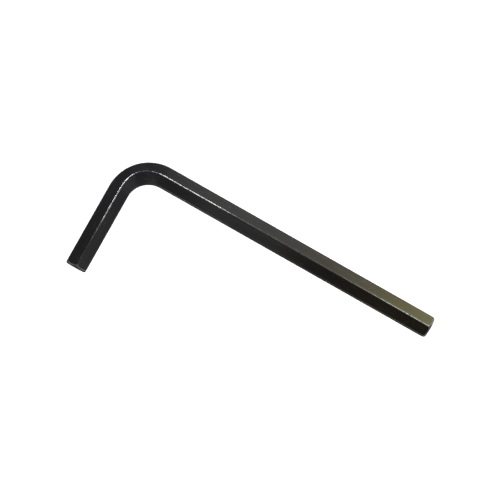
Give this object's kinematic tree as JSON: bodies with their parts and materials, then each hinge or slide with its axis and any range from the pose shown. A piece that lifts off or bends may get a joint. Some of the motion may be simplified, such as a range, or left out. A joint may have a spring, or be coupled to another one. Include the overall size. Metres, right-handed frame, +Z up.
{
  "type": "hex key",
  "caption": "L-shaped hexagon key: one blackened steel hex bar bent once, with a long and a short driving arm and chamfered tips.",
  "frame": {"origin": "on the surface the key lies on, under the middle of its outline", "axes": "+X along the long arm towards its tip, -Y along the short arm towards its tip, +Z up, away from the surface it lies on"},
  "size_m": [0.096, 0.0364, 0.0068],
  "materials": {
    "black_steel": "black oxide over a drawn bar, satin, rubbed brighter along the corners"
  },
  "bodies": {
    "root": {"hex_key": "black_steel"}
  },
  "joints": []
}
